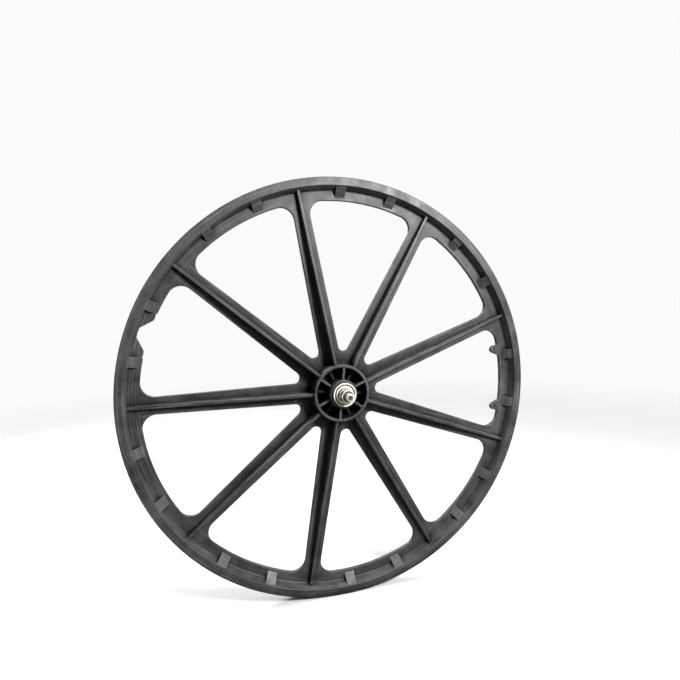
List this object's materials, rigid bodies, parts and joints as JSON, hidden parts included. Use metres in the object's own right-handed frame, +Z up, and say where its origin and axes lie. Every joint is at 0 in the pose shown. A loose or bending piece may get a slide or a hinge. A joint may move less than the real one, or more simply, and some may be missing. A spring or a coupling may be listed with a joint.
{
  "type": "bicycle wheel",
  "caption": "Moulded black plastic bicycle wheel with straight ribbed spokes, a channel rim for a tyre, and a steel cup-and-cone hub on a solid axle; no tyre fitted.",
  "frame": {"origin": "centre of the wheel, on the axle line, midway between the two rim edges", "axes": "+Y along the axle from the front face to the rear face, +Z up across the wheel, +X across the wheel to the right of the front face"},
  "size_m": [0.52, 0.108, 0.52],
  "materials": {
    "black_plastic": "moulded black nylon, satin, dusty and scuffed",
    "zinc_steel": "zinc-plated steel with a warm tint",
    "plain_steel": "plain pressed steel, greased",
    "ball_steel": "polished bearing steel",
    "axle_steel": "threaded steel, dull zinc plate"
  },
  "bodies": {
    "axle_set": {"axle": "axle_steel", "axle_cone_front": "zinc_steel", "axle_cone_rear": "zinc_steel", "lock_washer_front": "zinc_steel", "lock_washer_rear": "zinc_steel", "axle_locknut_front": "zinc_steel", "axle_locknut_rear": "zinc_steel"},
    "wheel": {"wheel_moulding": "black_plastic", "hub_sleeve": "plain_steel", "bearing_cup_front": "zinc_steel", "bearing_cup_rear": "zinc_steel", "dust_cap_front": "zinc_steel", "dust_cap_rear": "zinc_steel"},
    "ball_ring_front": {"ball_retainer_front": "plain_steel", "bearing_balls_front": "ball_steel"},
    "ball_ring_rear": {"ball_retainer_rear": "plain_steel", "bearing_balls_rear": "ball_steel"}
  },
  "joints": [
    {"name": "wheel_spin", "type": "hinge", "parent": "axle_set", "child": "wheel", "pos_m": [0, 0, 0], "axis": [0, 1, 0], "continuous": true},
    {"name": "ball_ring_front_spin", "type": "hinge", "parent": "axle_set", "child": "ball_ring_front", "pos_m": [0, -0.0294, 0], "axis": [0, 1, 0], "continuous": true},
    {"name": "ball_ring_rear_spin", "type": "hinge", "parent": "axle_set", "child": "ball_ring_rear", "pos_m": [0, 0.0294, 0], "axis": [0, 1, 0], "continuous": true}
  ],
  "couplings": [
    {"joint": "ball_ring_front_spin", "follows": "wheel_spin", "ratio": 0.5905},
    {"joint": "ball_ring_rear_spin", "follows": "wheel_spin", "ratio": 0.5905}
  ]
}
